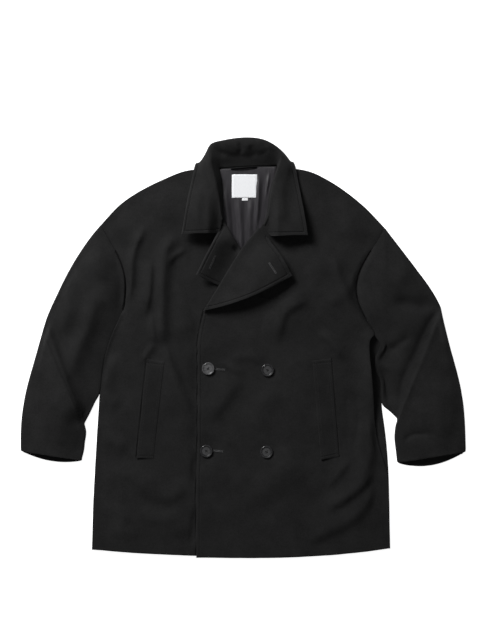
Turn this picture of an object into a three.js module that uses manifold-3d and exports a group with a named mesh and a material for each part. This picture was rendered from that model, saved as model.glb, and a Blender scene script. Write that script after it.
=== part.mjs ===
// Double-breasted pea coat laid flat on its back, buttoned, its collar open and both lapels turned back.
// Millimetres. +Z points up out of the surface it lies on, +Y towards the collar, +X towards the wearer's left.
import * as THREE from 'three';
import { mergeVertices } from 'three/addons/utils/BufferGeometryUtils.js';
import Module from 'manifold-3d';

const wasm = await Module();
wasm.setup();

// Cloth sizes
const shell = 2.6;            // one wall of the coating
const doubled = 3;            // two layers sewn together: collar and lapels
const seamGap = 0.3;          // between pieces at a seam
const loft = 3.2;             // how far the fronts stand off the back inside the coat
const neckLift = 4;           // the collar's fall lies under the back here
const liningWall = 1.2;
const weltWall = 2;
const labelWall = 0.6;
const loopWall = 1.2;
const softEdge = 0.6;         // how far a cut edge rounds down
const rollWrap = 4.9;         // the lapel wraps this far round a front's edge
const buttonWidth = 26;
const buttonHeight = 4.6;

// The wearer's right is at -X. A side seam runs from the hem to the underarm.
const sideSeamRight = table('x y', [
  [-309, -414], [-306, -314], [-301, -221], [-294, -109], [-287, -39], [-271, 18], [-245, 76],
]);
// At the left side the front rolls back and leaves a strip of the back showing.
const sideSeamLeft = table('x y', [
  [301, -411], [299, -324], [296, -262], [286, -230], [274.5, -190], [268.6, -150], [266, -109], [261, -47],
  [256.5, 0], [261, 18], [270, 28],
]);
const backSideLeft = table('x y', [
  [301, -411], [299, -324], [297, -240], [289, -160], [281, -118], [275, -99], [266.8, -66], [267, -42],
  [269.6, -20], [275.6, 2], [272.6, 18], [270, 28],
]);

// An armhole seam runs from the shoulder to the underarm and bows towards the body.
const armholeRight = { shoulder: [-291, 249], underarm: [-245, 76], bow: 22 };
const armholeLeft = { shoulder: [290, 243], underarm: [270, 28], bow: -46 };

// The front edge of each front: hem, buttons, roll line of the lapel, neck seam.
const edgeRight = table('x y roll', [
  [74, -428, 0], [74, -324, 0], [74, -221, 0], [76, -109, 0], [78, 4, 0], [79, 60, 0], [76, 90, 1],
  [37, 146, 1], [-4, 200, 1], [-29, 242, 1], [-43, 276, 1], [-46, 315, 0], [-51, 345, 0], [-62, 361, 0],
]);
const edgeLeft = table('x y roll', [
  [-96, -429, 0], [-96, -324, 0], [-96, -221, 0], [-96, -119, 0], [-96, -47, 0], [-94, 25, 0], [-81, 74, 1],
  [-50, 124, 1], [-4, 200, 1], [24, 234, 1], [41, 262, 1], [58, 305, 0], [67, 340, 0], [82, 363, 0],
]);
const hemRight = table('x y', [[-309, -414], [-211, -421], [-96, -426], [74, -428]]);
const hemLeft = table('x y', [[-96, -429], [35, -430], [158, -426], [248, -418], [301, -411]]);
const shoulderRight = table('x y', [
  [-291, 249], [-252, 291], [-209, 320], [-160, 344], [-121, 359], [-90, 363], [-62, 361],
]);
const shoulderLeft = table('x y', [
  [82, 363], [105, 364], [141, 357], [189, 332], [223, 308], [252, 283], [290, 243],
]);
const backNeck = table('x y', [[-62, 361], [-43, 365], [14, 369], [66, 370], [82, 363]]);

// The sleeves, one ring a row, from the armhole to the cuff. rise is the height of the top layer.
const sleeveRightRings = table('outerX outerY innerX innerY bow rise', [
  [-291, 249, -245, 76, 22, 8.8],
  [-294, 246, -249, 68, 22, 8.8],
  [-313, 224, -261, 46, 18, 9],
  [-337, 189, -273.5, 16, 12, 9.4],
  [-361, 148, -285, -22, 7, 9.8],
  [-384, 100, -291.5, -62, 4, 9.6],
  [-399, 68, -295.5, -96, 2, 8.8],
  [-408, 40, -319, -146, 0, 7.2],
  [-410, 33, -325, -157, 0, 13.6],
  [-416, 12, -321, -170, 0, 13.2],
  [-429, -34, -322, -184, 0, 12],
  [-441, -76, -324, -196, 0, 11],
  [-450, -120, -325, -207, 0, 10.4],
  [-455, -166, -327, -218, 0, 10],
  [-455, -207, -330, -229, 0, 10],
  [-454, -212, -330, -232, 0, 9.6],
]);
const sleeveLeftRings = table('outerX outerY innerX innerY bow rise', [
  [290, 243, 270, 28, -46, 8.8],
  [294, 239, 275, 20, -46, 8.8],
  [310, 218, 279, 3, -38, 9],
  [330, 192, 272.5, -20, -29, 9.4],
  [352, 163, 268, -42, -20, 9.8],
  [374, 134, 268, -67, -12, 9.6],
  [392, 107, 278, -99, -6, 8.6],
  [404, 83, 305, -136, 0, 7.2],
  [406, 76, 316, -146, 0, 13.6],
  [412, 49, 313, -158, 0, 13.2],
  [424, 0, 311, -171, 0, 12],
  [437, -46, 310, -184, 0, 11],
  [448, -95, 311, -198, 0, 10.4],
  [454, -145, 313, -213, 0, 10],
  [456, -206, 315, -230, 0, 10],
  [455, -213, 316, -236, 0, 9.6],
]);
const cuffLipRight = 11;      // how far the under layer shows past the top one
const cuffLipLeft = 17;

// Each lapel runs from its roll line to its outer edge. Rows go from its lower edge up to the gorge.
const lapelRightRows = table('rollX rollY outerX outerY', [
  [76, 90, -95, 147], [37, 146, -80, 178], [-4, 200, -66, 205], [-29, 242, -54, 229], [-41, 266, -46, 244],
]);
const lapelLeftRows = table('rollX rollY outerX outerY', [
  [-81, 74, 99, 145], [-50, 124, 87, 168], [-4, 200, 73, 192], [20, 229, 61, 208], [31.5, 244, 52, 222],
]);
const lapelRollRight = 1.6;   // how far a lapel springs up at its roll line
const lapelRollLeft = 3.6;

// The collar, one section a row, from the wearer's right front end round the back of the neck.
// Each section goes from the neck seam over the roll and the fall to the outer edge.
const collarSections = table(
  'neckX neckY neckZ rollX rollY rollZ fallX fallY fallZ edgeX edgeY edgeZ', [
    [-42, 264, 15.5, -43, 260, 19, -50, 240, 17, -125, 235, 12],
    [-42, 278, 11, -47, 275, 23, -62, 262, 20, -121, 256, 13],
    [-42, 298, 9.4, -50, 298, 26, -66, 292, 22, -115, 290, 14.8],
    [-43, 322, 9.2, -55, 322, 27, -71, 319, 23, -109, 320, 15.2],
    [-45, 345, 9.2, -61, 347, 27, -79, 346, 23, -103, 347, 14.4],
    [-49, 361, 9.2, -68, 370, 25, -84, 366, 21, -98, 372, 11.6],
    [-48, 367, 8.2, -69, 384, 22, -83, 382, 13, -92, 375, 1.8],
    [-44, 367.6, 5.8, -61, 405, 17, -66, 402, 6, -72, 350, 1.5],
    [-32, 368.2, 5.6, -39, 422, 13, -40, 416, 3.2, -44, 342, 1.5],
    [-10, 369.7, 5.6, -12, 428, 11, -12, 422, 2.6, -16, 339, 1.5],
    [16, 371, 5.6, 16, 429, 11, 16, 423, 2.6, 16, 339, 1.5],
    [42, 371.9, 5.6, 44, 424, 13, 45, 418, 3.2, 48, 342, 1.5],
    [62, 372.6, 5.8, 68, 408, 17, 72, 405, 6, 78, 350, 1.5],
    [70, 372.6, 8.2, 79, 390, 22, 90, 387, 13, 98, 377, 1.8],
    [70, 366, 9.2, 77, 376, 25, 93, 371, 21, 105, 374, 11.6],
    [65, 350, 9.2, 70, 356, 27, 89, 352, 23, 110, 350, 14.4],
    [58, 328, 9.2, 63, 330, 27, 82, 328, 23, 115, 322, 15.2],
    [51, 302, 9, 56, 302, 26, 74, 298, 22, 121, 290, 14.8],
    [45, 276, 11, 49, 273, 23, 66, 262, 20, 127, 256, 13],
    [37, 252, 15.5, 38.5, 248, 19, 54, 227.5, 17, 131, 228, 12],
  ]);
const standSpring = 4;        // how far the stand bulges between the neck seam and the roll
const fallEdge = table('x y', [
  [-102, 371], [-80, 349], [-44, 340], [16, 337], [50, 340], [84, 349], [109, 371], [70, 408], [-62, 408],
]);

// Pieces that lie on the panels: corners from the lower outer one, counter-clockwise.
const weltRight = table('x y', [[-217, -227], [-183, -221], [-161, -30], [-196, -25]]);
const weltLeft = table('x y', [[159, -230], [196, -223], [180, -24], [142, -28]]);
const liningCorners = table('x y', [[-46, 178], [40, 182], [68, 368.4], [-54, 363]]);
const labelCorners = table('x y', [[-23, 305], [29, 305], [29, 353], [-23, 353]]);
const sizeTabCorners = table('x y', [[-2, 299.5], [10, 299.5], [10, 304.7], [-2, 304.7]]);
const hangerLoopCorners = table('x y', [[-24, 361], [28, 362.5], [28, 367.5], [-24, 366]]);
const buttonPlaces = table('x y', [[-71, -44], [50, -47], [-75, -212], [48, -214]]);
const buttonNames = ['button_upper_edge', 'button_upper_inner', 'button_lower_edge', 'button_lower_inner'];

// The largest soft folds: a line from (x, y) to (toX, toY), its half width and its height, below zero for a trough.
const foldsRight = table('x y toX toY width height', [
  [-250, 240, -222, 120, 15, 2.2],
  [-214, 200, -188, 70, 17, -1.6],
  [-160, 235, -172, 30, 18, 1.8],
  [-120, 150, -118, -60, 22, -1.2],
  [-150, -20, -92, -110, 16, 1.4],
  [-200, -300, -120, -330, 18, -1.4],
]);
const foldsLeft = table('x y toX toY width height', [
  [262, -140, 268, -270, 13, -2],
  [262, -275, 176, -332, 12, -2.4],
  [280, -290, 190, -370, 14, 2],
  [262, -300, 150, -395, 12, -1.8],
  [160, 90, 230, 20, 18, 1.6],
  [120, 10, 190, -20, 16, -1.4],
  [-30, -60, 60, -30, 20, 1.2],
]);

const colours = { coating: 0x1f1f20, lining: 0x4a444c, label: 0xeceaee, loop: 0x141416, horn: 0x3a3a3c };

// Turns rows of bare numbers into rows with named columns.
function table(columns, rows) {
  const names = columns.split(' ');
  return rows.map((row) => Object.fromEntries(names.map((name, i) => [name, row[i]])));
}

function clamp01(t) {
  return Math.min(1, Math.max(0, t));
}

function smooth(t) {
  const s = clamp01(t);
  return s * s * (3 - 2 * s);
}

function mix(a, b, t) {
  return a + (b - a) * t;
}

// A smooth curve through a table's points, with t from 0 to 1 stepping evenly from row to row.
function curve(rows, x = 'x', y = 'y', z = null) {
  const points = rows.map((row) => new THREE.Vector3(row[x], row[y], z ? row[z] : 0));
  const line = new THREE.CatmullRomCurve3(points, false, 'centripetal');
  return (t) => line.getPoint(clamp01(t));
}

// A point on a seam that bows to one side, w going from its start to its end.
function bowed(startX, startY, endX, endY, bow, w) {
  const span = Math.hypot(endX - startX, endY - startY);
  const push = bow * Math.sin(Math.PI * w ** 1.2);
  return new THREE.Vector3(
    mix(startX, endX, w) - (push * (endY - startY)) / span,
    mix(startY, endY, w) + (push * (endX - startX)) / span,
    0,
  );
}

// The same seam in straight chords, which both pieces that meet at it share.
const armholeSteps = 8;
function chorded(startX, startY, endX, endY, bow, w) {
  const step = Math.min(Math.floor(w * armholeSteps), armholeSteps - 1);
  const at = (i) => bowed(startX, startY, endX, endY, bow, i / armholeSteps);
  return at(step).lerp(at(step + 1), w * armholeSteps - step);
}

// The body's side, from the hem (v = 0) up the side seam and round the armhole to the shoulder (v = 1).
const underarmAt = 0.62;
function bodySide(seam, armhole) {
  const seamCurve = curve(seam);
  return (v) => (v < underarmAt
    ? seamCurve(v / underarmAt)
    : chorded(...armhole.shoulder, ...armhole.underarm, armhole.bow, 1 - (v - underarmAt) / (1 - underarmAt)));
}

// A front's free edge. Its roll line stops short, so that the lapel can wrap round it.
function frontEdge(rows, inward) {
  const moved = rows.map((row) => ({ x: row.x + inward * row.roll * rollWrap, y: row.y }));
  return curve(moved);
}

// A four-sided piece of cloth in plan, between its bottom, top, left and right curves.
function patch(bottom, top, left, right) {
  const [p00, p10, p01, p11] = [left(0), right(0), left(1), right(1)];
  return (u, v) => {
    const [b, t, l, r] = [bottom(u), top(u), left(v), right(v)];
    const at = (axis) => mix(b[axis], t[axis], v) + mix(l[axis], r[axis], u)
      - mix(mix(p00[axis], p10[axis], u), mix(p01[axis], p11[axis], u), v);
    return new THREE.Vector2(at('x'), at('y'));
  };
}

function quad(corners) {
  const [a, b, c, d] = corners;
  return (u, v) => new THREE.Vector2(
    mix(mix(a.x, b.x, u), mix(d.x, c.x, u), v),
    mix(mix(a.y, b.y, u), mix(d.y, c.y, u), v),
  );
}

// Even steps from 0 to 1 with one more close to each end, where a cut edge rounds off.
function steps(count, nearEnd) {
  const inner = Array.from({ length: count - 1 }, (_, i) => (i + 1) / count);
  return [0, nearEnd, ...inner, 1 - nearEnd, 1];
}

function outlineOf(plan, count = 24) {
  const turn = Array.from({ length: count }, (_, i) => i / count);
  return [
    ...turn.map((t) => plan(t, 0)), ...turn.map((t) => plan(1, t)),
    ...turn.map((t) => plan(1 - t, 1)), ...turn.map((t) => plan(0, 1 - t)),
  ];
}

// How far a point lies outside an outline, and 0 inside it.
function distanceOutside(x, y, outline) {
  let inside = false;
  let nearest = Infinity;
  outline.forEach((a, i) => {
    const b = outline[(i + 1) % outline.length];
    const [dx, dy] = [b.x - a.x, b.y - a.y];
    const along = clamp01(((x - a.x) * dx + (y - a.y) * dy) / (dx * dx + dy * dy || 1));
    nearest = Math.min(nearest, Math.hypot(x - a.x - along * dx, y - a.y - along * dy));
    if ((a.y > y) !== (b.y > y) && x < a.x + ((y - a.y) * dx) / dy) inside = !inside;
  });
  return inside ? 0 : nearest;
}

// 1 over an outline and for margin round it, falling to 0 across band.
function cover(outline, margin, band) {
  return (x, y) => 1 - smooth((distanceOutside(x, y, outline) - margin) / band);
}

// The highest that a surface gets within reach of a point.
function highest(surface, reach) {
  const around = [[1, 0], [0.7, 0.7], [0, 1], [-0.7, 0.7], [-1, 0], [-0.7, -0.7], [0, -1], [0.7, -0.7], [0, 0]];
  return (x, y) => Math.max(...around.map(([dx, dy]) => surface(x + dx * reach, y + dy * reach)));
}

function foldHeight(folds, x, y) {
  return folds.reduce((sum, fold) => {
    const [dx, dy] = [fold.toX - fold.x, fold.toY - fold.y];
    const along = ((x - fold.x) * dx + (y - fold.y) * dy) / (dx * dx + dy * dy);
    const t = clamp01(along);
    const away = Math.hypot(x - fold.x - t * dx, y - fold.y - t * dy) / fold.width;
    return sum + fold.height * Math.exp(-away * away) * Math.sin(Math.PI * clamp01(0.12 + 0.76 * t));
  }, 0);
}

// Builds a mesh from points and faces of 3 or 4 corners, turned so that its faces point out.
function solid(points, faces) {
  const triangles = faces.flatMap((f) => (f.length === 4 ? [[f[0], f[1], f[2]], [f[0], f[2], f[3]]] : [f]));
  const volume = triangles.reduce((sum, [a, b, c]) => (
    sum + points[a].dot(new THREE.Vector3().crossVectors(points[b], points[c]))), 0);
  const index = triangles.flatMap(([a, b, c]) => (volume < 0 ? [a, c, b] : [a, b, c]));
  const geometry = new THREE.BufferGeometry();
  geometry.setAttribute('position', new THREE.Float32BufferAttribute(points.flatMap((p) => [p.x, p.y, p.z]), 3));
  geometry.setIndex(index);
  geometry.computeVertexNormals();
  return geometry;
}

// A closed wall of cloth over a plan. bottom and top give heights at (x, y, u, v).
function sheet(plan, uSteps, vSteps, bottom, top) {
  const points = [];
  const faces = [];
  const [nu, nv] = [uSteps.length, vSteps.length];
  const at = (i, j, layer) => (j * nu + i) * 2 + layer;
  vSteps.forEach((v, j) => uSteps.forEach((u, i) => {
    const p = plan(u, v);
    const onEdge = i === 0 || j === 0 || i === nu - 1 || j === nv - 1;
    points.push(new THREE.Vector3(p.x, p.y, bottom(p.x, p.y, u, v)));
    points.push(new THREE.Vector3(p.x, p.y, top(p.x, p.y, u, v) - (onEdge ? softEdge : 0)));
  }));
  for (let j = 0; j < nv - 1; j += 1) {
    for (let i = 0; i < nu - 1; i += 1) {
      faces.push([at(i, j, 1), at(i + 1, j, 1), at(i + 1, j + 1, 1), at(i, j + 1, 1)]);
      faces.push([at(i, j, 0), at(i, j + 1, 0), at(i + 1, j + 1, 0), at(i + 1, j, 0)]);
    }
  }
  for (let i = 0; i < nu - 1; i += 1) {
    faces.push([at(i, 0, 0), at(i + 1, 0, 0), at(i + 1, 0, 1), at(i, 0, 1)]);
    faces.push([at(i + 1, nv - 1, 0), at(i, nv - 1, 0), at(i, nv - 1, 1), at(i + 1, nv - 1, 1)]);
  }
  for (let j = 0; j < nv - 1; j += 1) {
    faces.push([at(0, j + 1, 0), at(0, j, 0), at(0, j, 1), at(0, j + 1, 1)]);
    faces.push([at(nu - 1, j, 0), at(nu - 1, j + 1, 0), at(nu - 1, j + 1, 1), at(nu - 1, j, 1)]);
  }
  return solid(points, faces);
}

// The body panels, all with the same rows up the side seams and armholes.
const bodyRows = [
  0, 0.006,
  ...Array.from({ length: 11 }, (_, i) => ((i + 1) * underarmAt) / 12),
  ...Array.from({ length: armholeSteps + 1 }, (_, i) => mix(underarmAt, 1, i / armholeSteps)),
].flatMap((v, i, all) => (i === all.length - 1 ? [0.994, v] : [v]));
const rightSide = bodySide(sideSeamRight, armholeRight);
const leftSide = bodySide(sideSeamLeft, armholeLeft);
const planFrontRight = patch(curve(hemRight), curve(shoulderRight), rightSide, frontEdge(edgeRight, -1));
const planFrontLeft = patch(curve(hemLeft), curve([...shoulderLeft]), frontEdge(edgeLeft, 1), leftSide);
const backTopEdge = curve([
  ...shoulderRight.slice(0, -1), ...backNeck, ...shoulderLeft.slice(1),
]);
const hemBack = table('x y', [[-309, -414], [-150, -419], [0, -421], [150, -418], [301, -411]]);
const planBack = patch(curve(hemBack), backTopEdge, rightSide, bodySide(backSideLeft, armholeLeft));
const planLining = quad(liningCorners);

function lapelPlan(rows, lowerEdge) {
  const gorge = rows[rows.length - 1];
  return patch(
    lowerEdge,
    (t) => new THREE.Vector2(mix(gorge.rollX, gorge.outerX, t), mix(gorge.rollY, gorge.outerY, t)),
    curve(rows, 'rollX', 'rollY'),
    curve(rows, 'outerX', 'outerY'),
  );
}
const lapelLowerLeft = table('x y', [[-81, 74], [-33, 86], [26, 107], [99, 145]]);
const lapelLowerRight = table('x y', [[76, 90], [10, 104], [-49, 126], [-95, 147]]);
const planLapelLeft = lapelPlan(lapelLeftRows, curve(lapelLowerLeft));
const planLapelRight = lapelPlan(lapelRightRows, curve(lapelLowerRight));

// Heights, layer by layer from the floor up
const overFall = cover(fallEdge, 20, 80);
const overFrontRight = cover(outlineOf(planFrontRight), 26, 50);
const overLapelRight = cover(outlineOf(planLapelRight), 26, 60);
const overLining = cover(liningCorners.map((c) => new THREE.Vector2(c.x, c.y)), 22, 34);

const backBottom = (x, y) => neckLift * overFall(x, y);
const backTop = (x, y) => backBottom(x, y) + shell;
const highestBack = highest(backTop, 16);
const liningBottom = (x, y) => highestBack(x, y) + seamGap;
const liningFolds = table('x width height', [[-24, 7, 0.9], [-8, 5, -0.5], [6, 6, 0.8], [24, 5, -0.7], [37, 5, 1.2], [48, 4, -0.6]]);
function liningTop(x, y, u, v) {
  const below = smooth((300 - y) / 50);
  const waves = liningFolds.reduce((sum, f) => sum + f.height * Math.exp(-(((x - f.x) / f.width) ** 2)), 0);
  return liningBottom(x, y) + liningWall + waves * below * smooth(u * 6) * smooth((1 - u) * 6) + 0 * v;
}

// A front lies on the back along its side seam and shoulder, and stands off it by loft further in.
function standOff(plan, sideFirst, side, shoulder) {
  return (x, y, u, v) => {
    const across = sideFirst ? u : 1 - u;
    const seam = side(v);
    const fromSide = Math.hypot(x - seam.x, y - seam.y);
    const top = shoulder(u);
    const fromShoulder = Math.hypot(x - top.x, y - top.y);
    const armhole = clamp01((v - underarmAt) / (1 - underarmAt));
    const atSeam = loft * 0.8 * Math.sin(Math.PI * armhole) * (1 - smooth(across * 6));
    return Math.max(atSeam, loft * smooth(fromSide / 60) * smooth(fromShoulder / 55));
  };
}
const standOffRight = standOff(planFrontRight, true, rightSide, curve(shoulderRight));
const standOffLeft = standOff(planFrontLeft, false, leftSide, curve(shoulderLeft));
const liningRoom = (x, y) => (liningWall + seamGap + 1) * overLining(x, y);
const foldShare = (off) => smooth(off / loft);

function frontRightBottom(x, y, u, v) {
  const off = standOffRight(x, y, u, v);
  return highestBack(x, y) + seamGap + Math.max(off, liningRoom(x, y));
}
function frontRightTop(x, y, u, v) {
  const off = standOffRight(x, y, u, v);
  return frontRightBottom(x, y, u, v) + shell + Math.max(0, foldHeight(foldsRight, x, y)) * foldShare(off);
}
function ridgeRoom(x, y) {
  return Math.max(0, foldHeight(foldsRight, x, y));
}
function frontLeftBottom(x, y, u, v) {
  const off = standOffLeft(x, y, u, v);
  const onBack = highestBack(x, y) + seamGap + Math.max(off, liningRoom(x, y));
  const onFront = (shell + seamGap + ridgeRoom(x, y)) * overFrontRight(x, y);
  const onLapel = (doubled + lapelRollRight + seamGap) * overLapelRight(x, y);
  return onBack + onFront + onLapel;
}
function frontLeftTop(x, y, u, v) {
  const off = standOffLeft(x, y, u, v);
  return frontLeftBottom(x, y, u, v) + shell + Math.max(0, foldHeight(foldsLeft, x, y)) * foldShare(off);
}

// How much of a lapel's width wraps down round the front's edge.
const wrapShare = 0.017;

// A lapel springs up at its roll line, wraps down round the front's edge there, and comes down to its outer edge.
function lapelHeights(plan, frontBottomAt, frontTopAt, spring) {
  const rollRadius = 5;
  const fromRoll = (x, y, v) => {
    const roll = plan(0, v);
    return Math.hypot(x - roll.x, y - roll.y);
  };
  const lift = (d) => spring * Math.exp(-d / 70);
  const body = (x, y, d) => frontTopAt(x, y) + seamGap + lift(d) + doubled;
  return {
    top: (x, y, u, v) => {
      const d = fromRoll(x, y, v);
      const over = rollRadius * (1 - Math.sqrt(1 - (1 - Math.min(d / rollRadius, 1)) ** 2));
      return body(x, y, d) - 0.7 * over;
    },
    bottom: (x, y, u, v) => {
      const d = fromRoll(x, y, v);
      return u < wrapShare ? frontBottomAt(x, y) : body(x, y, d) - doubled;
    },
  };
}

// Finds the front's own parameters under a point, so that what lies on it follows its surface.
function surfaceOf(plan, height) {
  return (x, y) => {
    let [u, v] = [0.5, 0.5];
    for (let round = 0; round < 12; round += 1) {
      const [du, dv] = [u < 0.5 ? 1e-4 : -1e-4, v < 0.5 ? 1e-4 : -1e-4];
      const [p, pu, pv] = [plan(u, v), plan(u + du, v), plan(u, v + dv)];
      const [ax, ay] = [(pu.x - p.x) / du, (pu.y - p.y) / du];
      const [bx, by] = [(pv.x - p.x) / dv, (pv.y - p.y) / dv];
      const det = ax * by - ay * bx || 1;
      u = clamp01(u + ((x - p.x) * by - (y - p.y) * bx) / det);
      v = clamp01(v + (ax * (y - p.y) - ay * (x - p.x)) / det);
    }
    return height(x, y, u, v);
  };
}
const onFrontRight = surfaceOf(planFrontRight, frontRightTop);
const onFrontLeft = surfaceOf(planFrontLeft, frontLeftTop);
const underFrontRight = surfaceOf(planFrontRight, frontRightBottom);
const underFrontLeft = surfaceOf(planFrontLeft, frontLeftBottom);

// A sleeve laid flat: a tube of cloth with rounded sides, open at the armhole and at the cuff.
const ringSteps = [0, 0.012, 0.035, ...Array.from({ length: armholeSteps - 1 }, (_, i) => (i + 1) / armholeSteps),
  0.965, 0.988, 1];
const hollow = 3.6;           // greatest height inside a sleeve
const tuck = 6;               // how far inside its sides the hollow starts
function flatTube(rings, cuffLip) {
  const loop = ringSteps.length;
  const points = [];
  const faces = [];
  rings.forEach((ring, k) => {
    const width = Math.hypot(ring.outerX - ring.innerX, ring.outerY - ring.innerY);
    const last = k >= rings.length - 2;
    const plan = (w, under) => {
      const p = chorded(ring.outerX, ring.outerY, ring.innerX, ring.innerY, ring.bow, w);
      if (k === 0) p.x += Math.sign(ring.outerX) * seamGap * 1.4;
      if (last && under) p.y -= cuffLip * Math.sin(Math.PI * w) ** 0.8;
      return p;
    };
    const topAt = (w) => {
      const side = Math.min(w, 1 - w) * width;
      const round = Math.sqrt(1 - (1 - clamp01(side / 22)) ** 2);
      return mix(4.4, ring.rise, round);
    };
    const inner = (w) => tuck / width + (1 - (2 * tuck) / width) * w;
    const layers = [
      ringSteps.map((w) => [plan(w, false), topAt(w)]),
      [...ringSteps].reverse().map((w) => [plan(w, true), Math.min(w, 1 - w) === 0 ? 1.2 : 0]),
      ringSteps.map((w) => [plan(inner(w), false), Math.min(topAt(inner(w)) - shell, shell + hollow)]),
      [...ringSteps].reverse().map((w) => [plan(inner(w), true), shell]),
    ];
    layers.flat().forEach(([p, z]) => points.push(new THREE.Vector3(p.x, p.y, z)));
  });
  const round = 2 * loop;
  const at = (k, i, wall) => k * 2 * round + wall * round + (i % round);
  for (let k = 0; k < rings.length - 1; k += 1) {
    for (let i = 0; i < round; i += 1) {
      faces.push([at(k, i, 0), at(k, i + 1, 0), at(k + 1, i + 1, 0), at(k + 1, i, 0)]);
      faces.push([at(k, i, 1), at(k + 1, i, 1), at(k + 1, i + 1, 1), at(k, i + 1, 1)]);
    }
  }
  for (let i = 0; i < round; i += 1) {
    const end = rings.length - 1;
    faces.push([at(0, i, 0), at(0, i, 1), at(0, i + 1, 1), at(0, i + 1, 0)]);
    faces.push([at(end, i, 0), at(end, i + 1, 0), at(end, i + 1, 1), at(end, i, 1)]);
  }
  return solid(points, faces);
}

// The collar: sections joined by smooth curves, the wall laid evenly on both sides of them.
function collarSolid() {
  const line = (x, y, z) => curve(collarSections, x, y, z);
  const neck = line('neckX', 'neckY', 'neckZ');
  const roll = line('rollX', 'rollY', 'rollZ');
  const fall = line('fallX', 'fallY', 'fallZ');
  const edge = line('edgeX', 'edgeY', 'edgeZ');
  const middle = (t) => {
    const [n, r, f, e] = [neck(t), roll(t), fall(t), edge(t)];
    const stand = n.clone().lerp(r, 0.7);
    stand.z += standSpring;
    const slope = f.clone().lerp(e, 0.5);
    slope.z = mix(f.z, e.z, 0.75);
    return new THREE.CatmullRomCurve3([n, stand, r, f, slope, e], false, 'centripetal');
  };
  const aroundSteps = steps((collarSections.length - 1) * 2, 0.004);
  const downSteps = [0, 0.03, 0.2, 0.3, 0.36, 0.4, 0.44, 0.5, 0.56, 0.62, 0.72, 0.85, 0.975, 1];
  const sections = aroundSteps.map(middle);
  const centre = sections.map((section) => downSteps.map((w) => section.getPoint(w)));
  const points = [];
  const [nu, nv] = [aroundSteps.length, downSteps.length];
  centre.forEach((row, i) => row.forEach((p, j) => {
    const along = centre[Math.min(i + 1, nu - 1)][j].clone().sub(centre[Math.max(i - 1, 0)][j]);
    const down = row[Math.min(j + 1, nv - 1)].clone().sub(row[Math.max(j - 1, 0)]);
    const normal = along.cross(down).normalize().multiplyScalar(doubled / 2);
    const [a, b] = [p.clone().add(normal), p.clone().sub(normal)];
    [a, b].forEach((q) => points.push(new THREE.Vector3(q.x, q.y, Math.max(0, q.z))));
  }));
  const at = (i, j, side) => (i * nv + j) * 2 + side;
  const faces = [];
  for (let i = 0; i < nu - 1; i += 1) {
    for (let j = 0; j < nv - 1; j += 1) {
      faces.push([at(i, j, 0), at(i, j + 1, 0), at(i + 1, j + 1, 0), at(i + 1, j, 0)]);
      faces.push([at(i, j, 1), at(i + 1, j, 1), at(i + 1, j + 1, 1), at(i, j + 1, 1)]);
    }
    faces.push([at(i, 0, 0), at(i + 1, 0, 0), at(i + 1, 0, 1), at(i, 0, 1)]);
    faces.push([at(i, nv - 1, 0), at(i, nv - 1, 1), at(i + 1, nv - 1, 1), at(i + 1, nv - 1, 0)]);
  }
  for (let j = 0; j < nv - 1; j += 1) {
    faces.push([at(0, j, 0), at(0, j, 1), at(0, j + 1, 1), at(0, j + 1, 0)]);
    faces.push([at(nu - 1, j, 0), at(nu - 1, j + 1, 0), at(nu - 1, j + 1, 1), at(nu - 1, j, 1)]);
  }
  return solid(points, faces);
}

// A button: a turned disc with a raised rim and a dished face, and four thread holes cut through it.
function asManifold(geometry) {
  const bare = geometry.clone();
  bare.deleteAttribute('normal');
  bare.deleteAttribute('uv');
  const merged = mergeVertices(bare, 1e-4);
  return new wasm.Manifold(new wasm.Mesh({
    numProp: 3,
    vertProperties: new Float32Array(merged.attributes.position.array),
    triVerts: new Uint32Array(merged.index.array),
  }));
}

function buttonGeometry() {
  const r = buttonWidth / 2;
  const profile = [
    [0, 0.4], [r * 0.55, 0.2], [r * 0.8, 0], [r, 1.6], [r, 3.2], [r - 0.9, buttonHeight], [r - 2.4, buttonHeight],
    [r - 3.6, buttonHeight - 1.5], [0, buttonHeight - 1.8],
  ].map(([x, y]) => new THREE.Vector2(x, y));
  let disc = asManifold(new THREE.LatheGeometry(profile, 22).rotateX(Math.PI / 2));
  for (let i = 0; i < 4; i += 1) {
    const angle = (i + 0.5) * (Math.PI / 2);
    const hole = new THREE.CylinderGeometry(1.1, 1.1, buttonHeight * 3, 8).rotateX(Math.PI / 2);
    hole.translate(2.6 * Math.cos(angle), 2.6 * Math.sin(angle), 0);
    disc = disc.subtract(asManifold(hole));
  }
  const mesh = disc.getMesh();
  const geometry = new THREE.BufferGeometry();
  geometry.setAttribute('position', new THREE.Float32BufferAttribute(mesh.vertProperties, 3));
  geometry.setIndex(Array.from(mesh.triVerts));
  geometry.computeVertexNormals();
  return geometry;
}

const coat = new THREE.Group();
const materials = {
  coating: new THREE.MeshStandardMaterial({ color: colours.coating, roughness: 0.95, metalness: 0 }),
  lining: new THREE.MeshStandardMaterial({ color: colours.lining, roughness: 0.5, metalness: 0 }),
  label: new THREE.MeshStandardMaterial({ color: colours.label, roughness: 0.8, metalness: 0 }),
  loop: new THREE.MeshStandardMaterial({ color: colours.loop, roughness: 0.9, metalness: 0 }),
  horn: new THREE.MeshStandardMaterial({ color: colours.horn, roughness: 0.4, metalness: 0 }),
};

function add(name, geometry, material) {
  const mesh = new THREE.Mesh(geometry, materials[material]);
  mesh.name = name;
  coat.add(mesh);
  return mesh;
}

// Flat pieces that lie on another one: a plate that follows the surface under it.
function plate(corners, across, along, under, wall) {
  const bottom = (x, y) => under(x, y) + seamGap + 0.1;
  return sheet(quad(corners), steps(across, 0.08), steps(along, 0.02), bottom, (x, y) => bottom(x, y) + wall);
}

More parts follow.
